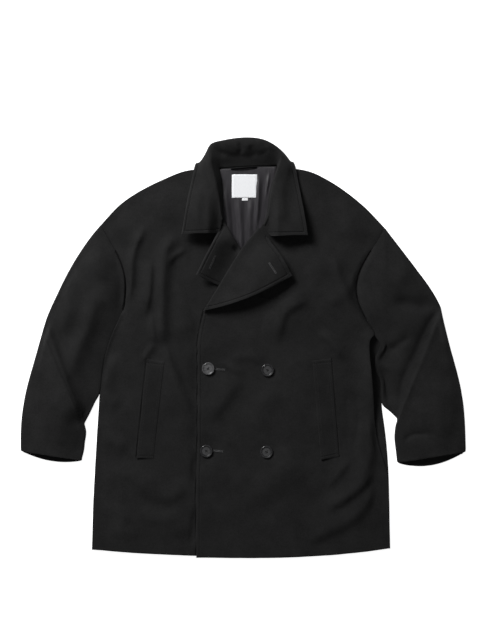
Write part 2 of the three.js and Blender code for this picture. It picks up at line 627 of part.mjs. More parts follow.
const frontAcross = steps(13, 0.012);
add('back', sheet(planBack, steps(16, 0.006), bodyRows, backBottom, backTop), 'coating');
add('front_right', sheet(planFrontRight, frontAcross, bodyRows, frontRightBottom, frontRightTop), 'coating');
add('front_left', sheet(planFrontLeft, frontAcross, bodyRows, frontLeftBottom, frontLeftTop), 'coating');
add('sleeve_right', flatTube(sleeveRightRings, cuffLipRight), 'coating');
add('sleeve_left', flatTube(sleeveLeftRings, cuffLipLeft), 'coating');

const lapelAcross = [0, 0.008, wrapShare - 0.001, wrapShare, 0.035, 0.08, 0.2, 0.35, 0.55, 0.75, 0.96, 1];
const lapelUp = [0, 0.02, 0.17, 0.33, 0.5, 0.67, 0.83, 0.97, 1];
const lapelsOf = {
  lapel_right: lapelHeights(planLapelRight, underFrontRight, highest(onFrontRight, 5), lapelRollRight),
  lapel_left: lapelHeights(planLapelLeft, underFrontLeft, highest(onFrontLeft, 5), lapelRollLeft),
};
add('lapel_right', sheet(planLapelRight, lapelAcross, lapelUp, lapelsOf.lapel_right.bottom, lapelsOf.lapel_right.top), 'coating');
add('lapel_left', sheet(planLapelLeft, lapelAcross, lapelUp, lapelsOf.lapel_left.bottom, lapelsOf.lapel_left.top), 'coating');
add('collar', collarSolid(), 'coating');
add('back_lining', sheet(planLining, steps(18, 0.02), steps(6, 0.02), liningBottom, liningTop), 'lining');
add('welt_right', plate(weltRight, 2, 8, onFrontRight, weltWall), 'coating');
add('welt_left', plate(weltLeft, 2, 8, onFrontLeft, weltWall), 'coating');

const onLining = (x, y) => highestBack(x, y) + seamGap + liningWall;
add('neck_label', plate(labelCorners, 3, 3, onLining, labelWall), 'label');
add('size_tab', plate(sizeTabCorners, 2, 1, onLining, labelWall), 'label');
add('hanger_loop', plate(hangerLoopCorners, 4, 1, onLining, loopWall), 'loop');

buttonPlaces.forEach((place, i) => {
  const button = add(buttonNames[i], buttonGeometry(), 'horn');
  button.position.set(place.x, place.y, onFrontLeft(place.x, place.y) + seamGap);
});

// The origin is the middle of the coat's outline, on the surface it lies on.
const box = new THREE.Box3().setFromObject(coat);
coat.position.set(-(box.min.x + box.max.x) / 2, -(box.min.y + box.max.y) / 2, -box.min.z);
coat.updateMatrixWorld(true);

export default coat;
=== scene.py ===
# Pea coat laid flat: wool coating, satin lining, topstitching, buttonholes, thread and a plain studio.
# Places are millimetres in the coat's own plan: x to the wearer's left, y to the collar, z up.
import math
import random

import bpy
import numpy as np
from mathutils import Matrix, Vector, kdtree, noise
from mathutils.bvhtree import BVHTree


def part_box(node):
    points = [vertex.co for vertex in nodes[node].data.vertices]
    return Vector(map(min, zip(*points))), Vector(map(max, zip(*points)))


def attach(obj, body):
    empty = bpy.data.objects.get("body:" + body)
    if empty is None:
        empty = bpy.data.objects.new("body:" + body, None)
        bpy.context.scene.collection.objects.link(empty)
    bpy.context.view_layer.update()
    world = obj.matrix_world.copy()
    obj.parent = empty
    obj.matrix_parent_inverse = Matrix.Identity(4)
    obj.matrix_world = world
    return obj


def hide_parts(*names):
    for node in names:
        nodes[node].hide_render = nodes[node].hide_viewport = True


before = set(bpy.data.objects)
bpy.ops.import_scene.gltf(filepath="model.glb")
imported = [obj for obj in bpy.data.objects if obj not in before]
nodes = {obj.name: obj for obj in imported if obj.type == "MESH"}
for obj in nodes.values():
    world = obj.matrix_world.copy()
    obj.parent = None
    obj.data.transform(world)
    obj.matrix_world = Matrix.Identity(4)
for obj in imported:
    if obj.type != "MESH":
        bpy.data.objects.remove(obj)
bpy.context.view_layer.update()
dice = random.Random(7)
mm = 0.001
labelPlace = (-23.0, 305.0)  # where the label's low corner lies in the plan
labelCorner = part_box("neck_label")[0]
originX = labelCorner[0] / mm - labelPlace[0]  # where the plan's x = 0 lies in the frame
originY = labelCorner[1] / mm - labelPlace[1]
print("frame loaded")


def deselectAll():
    if bpy.context.object and bpy.context.object.mode != "OBJECT":
        bpy.ops.object.mode_set(mode="OBJECT")
    bpy.ops.object.select_all(action="DESELECT")


def makeActive(piece):
    deselectAll()
    piece.select_set(True)
    bpy.context.view_layer.objects.active = piece


def applyModifier(piece, kind, **settings):
    makeActive(piece)
    modifier = piece.modifiers.new(kind.title(), kind)
    for key, value in settings.items():
        setattr(modifier, key, value)
    bpy.ops.object.modifier_apply(modifier=modifier.name)


def readVectors(piece, what):
    flat = np.empty(len(piece.data.vertices) * 3)
    piece.data.vertices.foreach_get(what, flat)
    return flat.reshape(-1, 3)


def planPoints(piece):
    return readVectors(piece, "co") / mm - (originX, originY, 0.0)


def setPlanPoints(piece, points):
    moved = (points + (originX, originY, 0.0)) * mm
    moved[:, 2] = np.maximum(moved[:, 2], 0.0)
    piece.data.vertices.foreach_set("co", moved.ravel())
    piece.data.update()


def softStep(t):
    t = np.clip(t, 0.0, 1.0)
    return t * t * (3.0 - 2.0 * t)


def rise(t, start, end):  # from 0 at start to 1 at end, which may be the lower
    return softStep((t - start) / (end - start))


def roundStep(t):  # steepest at its start
    return 1.0 - (1.0 - np.clip(t, 0.0, 1.0))**2


def hump(t, wide):
    return np.exp(-(t / wide)**2)


def humps(t, rows):  # a row is a height, a middle and a width
    return sum(height * hump(t - middle, wide) for height, middle, wide in rows)


def heading(degrees):
    return math.cos(math.radians(degrees)), math.sin(math.radians(degrees))


def smoothShade(piece):
    piece.data.polygons.foreach_set("use_smooth", [True] * len(piece.data.polygons))
    piece.data.update()


def addObject(name, data):
    thing = bpy.data.objects.new(name, data)
    bpy.context.collection.objects.link(thing)
    return thing


clothShape = dict(weld=0.02, quadAngle=70.0, fit=0.85, fitUp=0.5)


def clothFrom(nodeName, pieceName=None, levels=3, kind="CATMULL_CLARK"):
    shape = clothShape
    pieceName = pieceName or nodeName + "_cloth"
    data = nodes[nodeName].data.copy()
    data.name = pieceName
    piece = addObject(pieceName, data)
    makeActive(piece)
    bpy.ops.object.mode_set(mode="EDIT")
    bpy.ops.mesh.select_all(action="SELECT")
    bpy.ops.mesh.remove_doubles(threshold=shape["weld"] * mm)
    nearlyFlat = math.radians(shape["quadAngle"])
    bpy.ops.mesh.tris_convert_to_quads(face_threshold=nearlyFlat, shape_threshold=nearlyFlat)
    bpy.ops.object.mode_set(mode="OBJECT")
    piece.data.materials.clear()
    corners = planPoints(piece)  # smoothing draws a form in, so its corners are first pushed out by as much
    trial = addObject(pieceName + "_trial", piece.data.copy())
    applyModifier(trial, "SUBSURF", levels=2, subdivision_type=kind)
    drawnIn = corners - planPoints(trial)[:len(corners)]
    drawnIn[:, 2] *= shape["fitUp"]
    bpy.data.objects.remove(trial)
    setPlanPoints(piece, corners + drawnIn * shape["fit"])
    applyModifier(piece, "SUBSURF", levels=levels, subdivision_type=kind)
    smoothShade(piece)
    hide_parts(nodeName)
    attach(piece, "root")
    return piece


# Lines in plan, drawn smoothly through a few points
def smoothLine(points, step=2.0):
    rows = [Vector(p) for p in points]
    rows = [rows[0] * 2 - rows[1], *rows, rows[-1] * 2 - rows[-2]]
    line = []
    for a, b, c, d in zip(rows, rows[1:], rows[2:], rows[3:]):
        ab, bc, cd = (math.sqrt((q - p).length) for p, q in ((a, b), (b, c), (c, d)))
        leave = ((b - a) / ab - (c - a) / (ab + bc) + (c - b) / bc) * bc
        arrive = ((c - b) / bc - (d - b) / (bc + cd) + (d - c) / cd) * bc
        count = max(1, round((c - b).length / step))
        for t in (i / count for i in range(count)):
            line.append(b * (2 * t**3 - 3 * t**2 + 1) + leave * (t**3 - 2 * t**2 + t)
                        + c * (3 * t**2 - 2 * t**3) + arrive * (t**3 - t**2))
    return [*line, rows[-2]]


def corneredLine(*sides):
    line = smoothLine(sides[0])
    for side in sides[1:]:
        line += smoothLine(side)[1:]
    return line


def insetLine(line, distance):  # to the left of the way it runs
    turned = [Vector((-(b - a).y, (b - a).x)).normalized() for a, b in zip(line, line[1:])]
    moved = []
    for i, point in enumerate(line):
        before, after = turned[max(i - 1, 0)], turned[min(i, len(turned) - 1)]
        moved.append(point + (before + after) * distance / max(0.3, 1 + before.dot(after)))
    return moved


# Soft folds. Each runs along its own path, higher or lower than the cloth round it.
# lit and shade are its widths on the side towards the key light and on the other
keyAzimuth = 127.0
towardsKey = heading(keyAzimuth)
foldLook = dict(strength=1.5, sharpness=1.9, reach=2.4, step=3.0, endShare=0.45, longestEnd=42.0, endLap=0.35)


def foldHeight(folds, x, y):
    look = foldLook
    total = np.zeros_like(x)
    for path, lit, shade, height, *more in folds:
        sharpness = more[0] if more else look["sharpness"]
        line = np.array([tuple(p) for p in smoothLine(path, look["step"])])
        reach = look["reach"] * max(lit, shade)
        low, high = line.min(axis=0) - reach, line.max(axis=0) + reach
        near = np.flatnonzero((x > low[0]) & (x < high[0]) & (y > low[1]) & (y < high[1]))
        if not len(near):
            continue
        steps = np.hypot(*np.diff(line, axis=0).T)
        run = np.concatenate([[0.0], np.cumsum(steps)])
        ways = np.gradient(line, axis=0)
        ways /= np.hypot(ways[:, 0], ways[:, 1])[:, None]
        gapX, gapY = x[near, None] - line[None, :, 0], y[near, None] - line[None, :, 1]
        closest = np.argmin(gapX**2 + gapY**2, axis=1)
        pick = np.arange(len(near))
        wayX, wayY = ways[closest, 0], ways[closest, 1]
        across = -gapX[pick, closest] * wayY + gapY[pick, closest] * wayX
        along = run[closest] + gapX[pick, closest] * wayX + gapY[pick, closest] * wayY
        whole = line[-1] - line[0]
        leftIsLit = -whole[1] * towardsKey[0] + whole[0] * towardsKey[1] > 0
        width = np.where((across > 0) == leftIsLit, lit, shade)
        ends = min(look["endShare"] * run[-1], look["longestEnd"])
        lap = ends * look["endLap"]
        fade = softStep((along + lap) / ends) * softStep((run[-1] - along + lap) / ends)
        total[near] += look["strength"] * height * np.exp(-np.abs(across / width)**sharpness) * fade
    return total


def unevenness(points, size, height, seed):
    shift = Vector((seed * 13.7, seed * 7.3, seed * 3.1))
    return np.array([noise.noise(Vector((x, y, 0.0)) / size + shift) for x, y in points[:, :2]]) * height


def waves(points, rows):  # a row is a size, a height and a seed
    return sum(unevenness(points, *row) for row in rows)


# Rows: the path, lit and shade, the height and, in a few, the sharpness
bodyFolds = [
    ([(-203, 240), (-219, 205), (-226, 175), (-227, 145), (-232, 105)], 11, 8, 4.2),
    ([(-188, 172), (-189, 140), (-192, 105), (-200, 68)], 16, 7, 4.2),
    ([(-187, 64), (-184, 38), (-180, 10)], 9, 6, 2.6),
    ([(-140, 222), (-155, 202), (-161, 165), (-164, 128), (-164, 90), (-165, 51), (-162, 12)], 13, 13, 5.6),
    ([(-118, 198), (-141, 184), (-150, 170)], 8, 5, 2.2),
    ([(-124, 150), (-122, 90), (-126, 20)], 22, 18, 2.0),
    ([(-180, 6), (-194, -10), (-206, -30)], 7, 8, 2.2),
    ([(-158, 0), (-146, -34), (-131, -74), (-119, -104), (-106, -132)], 17, 6, 4.0, 1.6),
    ([(-256, -16), (-272, -50), (-286, -88)], 12, 18, 3.4),
    ([(-292, -102), (-275, -108), (-256, -122)], 15, 12, 2.4),
    ([(-284, -186), (-262, -194), (-240, -210)], 16, 13, 2.6),
    ([(-258, -248), (-222, -266), (-182, -299), (-150, -306), (-118, -284)], 24, 13, 3.6),
    ([(-208, -344), (-160, -354), (-118, -342)], 18, 12, 2.8),
    ([(-172, -368), (-142, -372), (-116, -364)], 12, 16, 2.0),
    ([(-266, -330), (-248, -342), (-238, -360)], 9, 7, 1.8),
    ([(-272, -372), (-236, -380), (-206, -376)], 16, 12, 1.8),
    ([(130, 98), (86, 72), (74, 38), (68, 14)], 20, 10, 4.0),
    ([(158, 26), (178, 12), (192, -6), (201, -24)], 10, 7, 3.4, 1.6),
    ([(-54, -32), (-28, -41), (4, -56)], 10, 6, 2.6, 1.6),
    ([(38, -32), (14, -20), (-24, -24)], 10, 7, 2.0),
    ([(-6, -64), (-22, -84), (-40, -108), (-68, -144)], 26, 14, 3.8),
    ([(70, -86), (40, -120), (30, -165)], 26, 20, 2.0),
    ([(-60, -168), (-34, -190), (-20, -204)], 14, 10, 1.8),
    ([(100, -220), (76, -262), (20, -300)], 34, 26, 2.6),
    ([(271, -148), (266, -185), (259, -215), (252, -245), (242, -268)], 26, 13, 5.0),
    ([(262, -258), (250, -274), (236, -289), (216, -303), (199, -316), (170, -330)], 26, 6.5, 5.2, 1.6),
    ([(264, -288), (256, -312), (242, -333), (227, -348), (208, -361), (188, -371), (170, -379), (134, -398)],
     24, 8.5, 4.0, 1.6),
    ([(218, -232), (198, -256), (174, -284)], 14, 6, 2.6, 1.6),
    ([(222, -92), (229, -150), (224, -210)], 22, 12, -3.2),
    ([(184, 182), (200, 135), (224, 78)], 14, 9, 2.6),
    ([(236, 150), (206, 110), (160, 84)], 18, 14, 2.0),
    ([(120, 210), (150, 180), (160, 140)], 24, 18, 2.2),
    ([(196, 300), (214, 262), (222, 226)], 18, 14, 1.8),
    ([(-204, 312), (-176, 286), (-150, 250)], 18, 14, 1.8),
]
backFolds = [
    ([(-180, 250), (-120, 170), (-100, 60)], 14, 12, 1.0),
    ([(170, 240), (120, 150), (110, 50)], 14, 12, 1.0),
    ([(-60, 120), (10, 60), (70, -40)], 18, 14, 0.9),
    ([(-200, -120), (-120, -180), (-20, -200)], 18, 14, 1.0),
    ([(40, -160), (120, -220), (210, -250)], 16, 14, 1.1),
    ([(-150, -300), (-60, -340), (60, -330)], 18, 16, 0.9),
    ([(0, 330), (-6, 120), (2, -100), (0, -400)], 3, 3, 0.7, 1.5),
]
underFolds = [
    ([(-96, -224), (-97, -250), (-95, -284)], 7, 8, -5.0),
    ([(-95, -332), (-98, -362), (-103, -400)], 7, 8, -4.4),
    ([(-95, 60), (-94, -40), (-95, -200)], 12, 8, -2.2),
]
shadedFolds = [  # the fronts sink below the free edges that lie over them
    ([(-74, 60), (-30, 76), (12, 88), (56, 106), (100, 130)], 15, 34, -2.8),
    ([(-114, 219), (-84, 220), (-52, 226)], 13, 32, -2.8),
    ([(56, 221), (90, 220), (130, 223)], 13, 32, -2.8),
]
sleeveFolds = {
    "sleeve_right": [
        ([(-262, 186), (-249, 152), (-245, 116), (-250, 82)], 15, 4, -2.6),
        ([(-300, 110), (-318, 40), (-340, -12), (-352, -62)], 18, 16, 4.4),
        ([(-404, 50), (-376, -22), (-353, -84), (-330, -140)], 28, 8, 7.2, 1.6),
        ([(-345, 152), (-352, 92), (-368, 30)], 20, 18, 3.2),
        ([(-312, 190), (-296, 160), (-280, 140)], 16, 12, 2.0),
        ([(-364, -90), (-368, -140), (-378, -196)], 38, 30, 2.8),
    ],
    "sleeve_left": [
        ([(388, 80), (352, 85), (314, 92)], 16, 9, -4.6),
        ([(404, 74), (384, 44), (369, 14), (360, -9), (342, -44), (329, -80), (324, -124)], 22, 32, -2.0),
        ([(400, 77), (379, 47), (364, 17), (355, -6), (337, -41), (324, -77), (319, -122)], 6, 10, -1.7, 1.5),
        ([(416, 56), (400, 28), (388, -2), (374, -32), (354, -74), (344, -124)], 14, 50, -2.0),
        ([(340, 20), (316, 3), (300, -8)], 8, 6, -2.6, 1.6),
        ([(304, 6), (300, -14), (293, -38)], 26, 22, -4.2),
        ([(284, -40), (290, -64), (296, -92), (302, -112)], 26, 22, -3.6),
        ([(386, -178), (346, -180), (330, -192)], 7, 5, -2.0, 1.5),
        ([(352, 178), (330, 150), (312, 132)], 20, 16, 2.6),
        ([(420, 20), (418, -10), (424, -50)], 16, 14, 2.0),
        ([(424, -70), (420, -120), (426, -180)], 40, 14, 3.0),
    ],
}
buttonPlaces = [(-71, -44), (50, -47), (-75, -212), (48, -214)]


def straightLine(a, b, count=90):
    return [a.lerp(b, i / count) for i in range(count + 1)]


def bowedLine(start, end, bow):  # fullest a little past its middle
    a, b = Vector(start), Vector(end)
    out = Vector((a.y - b.y, b.x - a.x)).normalized() * bow
    line = straightLine(a, b)
    return [p + out * math.sin(math.pi * (i / (len(line) - 1))**1.2) for i, p in enumerate(line)]


# The fronts' and the collar's outlines where they are sewn or stitched
armholeRight = bowedLine((-291, 249), (-245, 76), 22)
armholeLeft = bowedLine((290, 243), (270, 28), -46)
neckSeam = [(-62, 361), (-51, 345), (-46, 315), (-43, 276), (-29, 242)]
shoulderRight = [(-291, 249), (-252, 291), (-209, 320), (-160, 344), (-121, 359), (-90, 363), (-62, 361)]
shoulderLeft = [(82, 363), (105, 364), (141, 357), (189, 332), (223, 308), (252, 283), (290, 243)]
neckSeamLeft = [(82, 363), (67, 340), (58, 305), (41, 262), (24, 234)]
sideRight = [(-309, -414), (-306, -314), (-301, -221), (-294, -109), (-287, -39), (-271, 18), (-245, 76)]
sideLeft = [(301, -411), (299, -324), (296, -262), (286, -230), (274, -190), (269, -150), (266, -109),
            (261, -47), (257, 0), (261, 18), (270, 28)]
frontEdge = [(-96, -429), (-96, -324), (-96, -221), (-96, -119), (-96, -47), (-94, 25), (-78, 76)]
lapelLeftEdge = corneredLine(
    [(-81, 74), (-33, 86), (26, 107), (99, 145)],
    [(99, 145), (87, 168), (73, 192), (61, 208), (52, 222)],
)
lapelRightEdge = corneredLine(
    [(76, 90), (10, 104), (-49, 126), (-95, 147)],
    [(-95, 147), (-80, 178), (-66, 205), (-54, 229), (-46, 244)],
)
collarRightEdge = corneredLine(
    [(-50, 234.5), (-74, 231.5), (-100, 230.5), (-125, 229.5)],
    [(-125, 229.5), (-121.5, 252), (-115, 289), (-109, 320), (-103, 347), (-98, 370)],
)
collarLeftEdge = corneredLine(
    [(54, 227.5), (80, 227), (106, 227.5), (131, 228)],
    [(131, 228), (127, 256), (121, 290), (115, 322), (110, 350), (105, 372)],
)
weltCorners = {
    "welt_right": [(-217, -227), (-183, -221), (-161, -30), (-196, -25)],
    "welt_left": [(159, -230), (196, -223), (180, -24), (142, -28)],
}


class PlanTree:  # how far a point lies from a few lines in plan
    def __init__(self, *lines):
        points = [p for line in lines for p in line]
        self.tree = kdtree.KDTree(len(points))
        for i, p in enumerate(points):
            self.tree.insert((p.x, p.y, 0.0), i)
        self.tree.balance()

    def distances(self, points):
        return np.array([self.tree.find((x, y, 0.0))[2] for x, y in points[:, :2]])


shoulderLook = dict(height=4.6, rise=12.0, crest=40.0, lower=(165.0, 220.0), lowerBy=0.8)
bodyLook = dict(
    crown=3.4, reach=95.0, hem=(-428.0, -338.0), hemShare=0.35, dimple=27.0, lowest=-1.0,
    shoulderEnd=110.0, foldsFrom=14.0, waves=((130.0, 2.6, 1), (48.0, 1.5, 2)),
)
bodySeams = PlanTree(armholeRight, armholeLeft, *map(smoothLine, (
    neckSeam, neckSeamLeft, shoulderRight, shoulderLeft, sideRight, sideLeft)))
armholes = PlanTree(armholeRight, armholeLeft)
sideRolls = [  # a side seam, the roll's height and width along it, and the roll's middle and length in y
    (PlanTree(smoothLine(sideLeft)), 17.5, 20.0, -60.0, 72.0),
    (PlanTree(smoothLine(sideRight)), 2.4, 5.0, 10.0, 75.0),
]


def shoulderRidge(armhole, y, end):  # the cloth stands up beside the armholes, less so near the shoulders
    look = shoulderLook
    ridge = look["height"] * roundStep(armhole / look["rise"]) * (1 - rise(armhole, look["crest"], end))
    return ridge * (1 - look["lowerBy"] * rise(y, *look["lower"]))


def bodyLift(points, own=()):
    look = bodyLook
    x, y = points[:, 0], points[:, 1]
    away = bodySeams.distances(points)
    hem = look["hemShare"] + (1 - look["hemShare"]) * rise(y, *look["hem"])
    crown = softStep(away / look["reach"]) * (look["crown"] + waves(points, look["waves"])) * hem
    shoulder = shoulderRidge(armholes.distances(points), y, look["shoulderEnd"])
    rolls = sum(height * hump(side.distances(points), wide) * hump(y - middle, length)
                for side, height, wide, middle, length in sideRolls)
    folds = foldHeight(bodyFolds, x, y) + foldHeight(own, x, y)
    lift = crown + shoulder + rolls + folds * softStep(away / look["foldsFrom"])
    button = np.ones_like(x)
    for bx, by in buttonPlaces:
        button *= 1 - np.exp(-((x - bx)**2 + (y - by)**2) / look["dimple"]**2)
    return np.maximum(lift, look["lowest"]) * button


wrinkleLook = dict(small=16.0, large=34.0, largeHeight=1.5, depth=0.5)


def addWrinkles(piece, seed, height):
    look = wrinkleLook
    points = planPoints(piece)
    rows = ((look["small"], height, seed), (look["large"], height * look["largeHeight"], seed + 5))
    points += readVectors(piece, "normal") * waves(points, rows)[:, None] * look["depth"]
    setPlanPoints(piece, points)


def storeLines(piece, edges=(), seams=(), far=60.0):
    points = planPoints(piece)
    for name, lines in (("edgeDistance", edges), ("seamDistance", seams)):
        away = np.minimum(PlanTree(*lines).distances(points), far) if lines else np.full(len(points), far)
        layer = piece.data.attributes.new(name, "FLOAT", "POINT")
        layer.data.foreach_set("value", away)


# Materials
sockets = dict(
    roughness="Roughness", specular="Specular IOR Level", sheen="Sheen Weight",
    sheenRoughness="Sheen Roughness", coat="Coat Weight", coatRoughness="Coat Roughness",
)

def addNode(tree, kind, inputs=None, **settings):
    node = tree.nodes.new(kind)
    for key, value in settings.items():
        setattr(node, key, value)
    for key, value in (inputs or {}).items():
        if isinstance(value, bpy.types.NodeSocket):
            tree.links.new(value, node.inputs[key])
        else:
            node.inputs[key].default_value = value
    return node


def startMaterial(name):
    material = bpy.data.materials.new(name)
    material.use_nodes = True
    tree = material.node_tree
    place = addNode(tree, "ShaderNodeTexCoord").outputs["Object"]
    return material, tree, place


def finishMaterial(tree, look, colour, height, strength, distance=1.0):  # the bump's distance in millimetres
    shader = tree.nodes["Principled BSDF"]
    bump = addNode(tree, "ShaderNodeBump", {
        "Strength": strength, "Distance": distance * mm, "Height": height})
    tree.links.new(colour, shader.inputs["Base Color"])
    tree.links.new(bump.outputs[0], shader.inputs["Normal"])
    for key, socket in sockets.items():
        if key in look:
            shader.inputs[socket].default_value = look[key]


def maths(tree, operation, a, b):
    return addNode(tree, "ShaderNodeMath", {0: a, 1: b}, operation=operation).outputs[0]


def weighted(tree, *parts):  # the sum of some values, each times its weight
    total, *shares = [maths(tree, "MULTIPLY", value, weight) for value, weight in parts]
    for share in shares:
        total = maths(tree, "ADD", total, share)
    return total


def ramp(tree, value, stops):
    node = addNode(tree, "ShaderNodeValToRGB", {0: value})
    band = node.color_ramp
    while len(band.elements) < len(stops):
        band.elements.new(0.5)
    for element, (place, colour) in zip(band.elements, stops):
        element.position = place
        element.color = (*colour, 1.0) if isinstance(colour, tuple) else (colour, colour, colour, 1.0)
    return node.outputs["Color"]


def blend(tree, factor, a, b):
    node = addNode(tree, "ShaderNodeMix", {0: factor}, data_type="RGBA")
    for key, value in ((6, a), (7, b)):
        if isinstance(value, bpy.types.NodeSocket):
            tree.links.new(value, node.inputs[key])
        else:
            node.inputs[key].default_value = (*value, 1.0)
    return node.outputs[2]


def stripes(tree, place, pitch, distortion, detail=1.0, direction="X"):  # pitch in millimetres
    return addNode(tree, "ShaderNodeTexWave", {
        "Vector": place, "Scale": math.pi / 10 / (pitch * mm), "Distortion": distortion, "Detail": detail,
        "Detail Scale": 1.6}, bands_direction=direction).outputs["Fac"]


def noiseTexture(tree, place, scale, detail, roughness=0.5, distortion=0.0):
    return addNode(tree, "ShaderNodeTexNoise", {
        "Vector": place, "Scale": scale, "Detail": detail, "Roughness": roughness,
        "Distortion": distortion}).outputs["Fac"]


def mapped(tree, place, scale=(1.0, 1.0, 1.0), turn=0.0):
    return addNode(tree, "ShaderNodeMapping", {
        "Vector": place, "Scale": scale, "Rotation": (0.0, 0.0, math.radians(turn))}).outputs[0]


def storedDistance(tree, name, reach):
    stored = addNode(tree, "ShaderNodeAttribute", attribute_name=name).outputs["Fac"]
    return maths(tree, "DIVIDE", stored, reach)


def shaded(colour, share):
    return tuple(min(1.0, c * share) for c in colour)


# Colours: a mottled tone; a lighter edge colour, partly for wear and partly a painted highlight; a near-black
# seam colour and a darker stitch tone, both painted shade in the seams and the stitch grooves
coatingLook = dict(
    dark=(0.0114, 0.0114, 0.0115), light=(0.0194, 0.0193, 0.0195), edge=(0.034, 0.034, 0.035), wearAndHighlight=0.45,
    seam=(0.001, 0.001, 0.001), seamShadeShare=0.75, stitchShade=0.5, stitchShadeShare=0.5,
    roughness=0.9, specular=0.08, sheen=0.03, sheenRoughness=0.45,
    mottleScale=26.0, napScale=330.0, lintScale=1100.0, fuzzDepth=0.10,
    yarnPitch=0.62, yarnDepth=0.09, twillPitch=1.1, twillTurn=45.0,
    reach=24.0, grooveDepth=1.0, grooveWidth=1.7, stitchInset=6.0, seamDepth=1.6,
)


def coatingMaterial(name, look):
    material, tree, place = startMaterial(name)
    mottle = noiseTexture(tree, place, look["mottleScale"], 6.0, 0.65)
    nap = noiseTexture(tree, place, look["napScale"], 3.0, 0.7)
    lint = noiseTexture(tree, place, look["lintScale"], 2.0, 0.7)
    twill = stripes(tree, mapped(tree, place, turn=look["twillTurn"]), look["twillPitch"], 1.2, 2.0)
    yarn = stripes(tree, place, look["yarnPitch"], 1.6, 2.0, "Y")
    edge = storedDistance(tree, "edgeDistance", look["reach"])
    seam = storedDistance(tree, "seamDistance", look["reach"])
    inset, wide = look["stitchInset"] / look["reach"], look["grooveWidth"] / look["reach"]
    groove = ramp(tree, edge, [
        (0.0, 0.72), (inset * 0.4, 1.0), (inset - wide, 0.9), (inset - wide * 0.25, 0.06),
        (inset + wide * 0.25, 0.06), (inset + wide, 0.84), (inset + wide * 2.5, 0.94), (1.0, 0.94)])
    sunk = ramp(tree, seam, [(0.0, 0.0), (0.03, 0.2), (0.11, 1.0), (1.0, 1.0)])
    height = weighted(
        tree, (twill, look["yarnDepth"]), (yarn, look["yarnDepth"] * 0.5), (lint, look["fuzzDepth"]),
        (groove, look["grooveDepth"]), (sunk, look["seamDepth"]))
    tone = weighted(tree, (mottle, 0.5), (nap, 0.5))
    colour = ramp(tree, tone, [(0.36, look["dark"]), (0.64, look["light"])])
    # painted highlight and wear: the coating is painted lighter within a few millimetres of its free edges,
    # partly for pressed, worn edges and partly for the sheen that light catches there
    wornAndHighlit = ramp(tree, edge, [(0.0, 1.0), (0.05, 0.55), (0.11, 0.0)])
    # painted shade: the coating is painted darker along the stitch groove
    stitchGrooveShade = ramp(tree, edge, [(inset - wide * 0.6, 0.0), (inset, 1.0), (inset + wide * 0.6, 0.0)])
    # painted shade: the coating is painted near black along its seam lines, the lower armholes, the pocket
    # mouths and under the over front's edge
    shadowed = ramp(tree, seam, [(0.0, 1.0), (0.03, 0.8), (0.09, 0.0)])
    layers = (
        (wornAndHighlit, look["wearAndHighlight"], look["edge"]),
        (stitchGrooveShade, look["stitchShadeShare"], shaded(look["dark"], look["stitchShade"])),
        (shadowed, look["seamShadeShare"], look["seam"]),
    )
    for mask, share, paint in layers:
        colour = blend(tree, maths(tree, "MULTIPLY", mask, share), colour, paint)
    finishMaterial(tree, look, colour, height, 1.0)
    return material


coating = coatingMaterial("wool coating", coatingLook)
# the body panels get shallower grooves and almost none of the lighter edge, which is wear and painted
# highlight
flatLook = {**coatingLook, "grooveDepth": 0.45, "wearAndHighlight": 0.05}
flatCoating = coatingMaterial("wool coating with flat seams", flatLook)
print("wool coating")

# Body panels
panelLook = dict(
    faceHeight=1.5, faceWaves=((70.0, 1.6, 3),), bulges=((16.0, -76, 32.0), (13.0, -2, 30.0)),
    bulge=(235.0, 265.0), underarmIn=5.0, wrinkles=0.34, edgeIn=1.5, edgeInAbove=3.0, edgeSink=1.6,
    sunkBelow=196.0,
)


def edgeShift(y):  # the over front's edge runs a little further in between the lapel and the hem
    look = panelLook
    return (look["edgeIn"] + look["edgeInAbove"] * rise(y, -262, -202)) * rise(y, 78, 28)


look = panelLook
back = clothFrom("back", "back_panel", 2)
points = planPoints(back)
x, y, z = points.T
under = np.maximum(foldHeight(backFolds, x, y) + waves(points, look["faceWaves"]), 0.0)
points[:, 2] += np.where(z < look["faceHeight"], under, 0.0)  # its face on the table
points[:, 0] += humps(y, look["bulges"]) * rise(x, *look["bulge"])
points[:, 0] -= look["underarmIn"] * hump(y - 82, 16.0) * rise(x, -225, -241)
setPlanPoints(back, points)
frontRight = clothFrom("front_right", "front_panel_right")
frontLeft = clothFrom("front_left", "front_panel_left")
for piece, seed, own in ((frontRight, 11, underFolds + shadedFolds), (frontLeft, 12, shadedFolds)):
    points = planPoints(piece)
    points[:, 2] += bodyLift(points, own)
    if piece is frontLeft:
        points[:, 0] += edgeShift(points[:, 1]) * (1 - rise(points[:, 0], -96, -66))
    setPlanPoints(piece, points)
    addWrinkles(piece, seed, look["wrinkles"])
# seam lines, where the coating is sunk and painted darker as shade: the pocket mouths, the lower armholes
# and, on the under front, a line just inside the over front's edge
shadedMouths = [smoothLine([(-218, -228), (-197, -24)]), smoothLine([(197, -224), (181, -23)])]
sunkShadedArmholes = [[p for p in line if p.y < look["sunkBelow"]] for line in (armholeRight, armholeLeft)]
frontLine = [Vector((p.x + float(edgeShift(p.y)), p.y)) for p in smoothLine(frontEdge)]
storeLines(back)
storeLines(frontRight, seams=[sunkShadedArmholes[0], shadedMouths[0], insetLine(frontLine, look["edgeSink"])])
storeLines(frontLeft, [frontLine], [sunkShadedArmholes[1], shadedMouths[1]])
print("body panels")

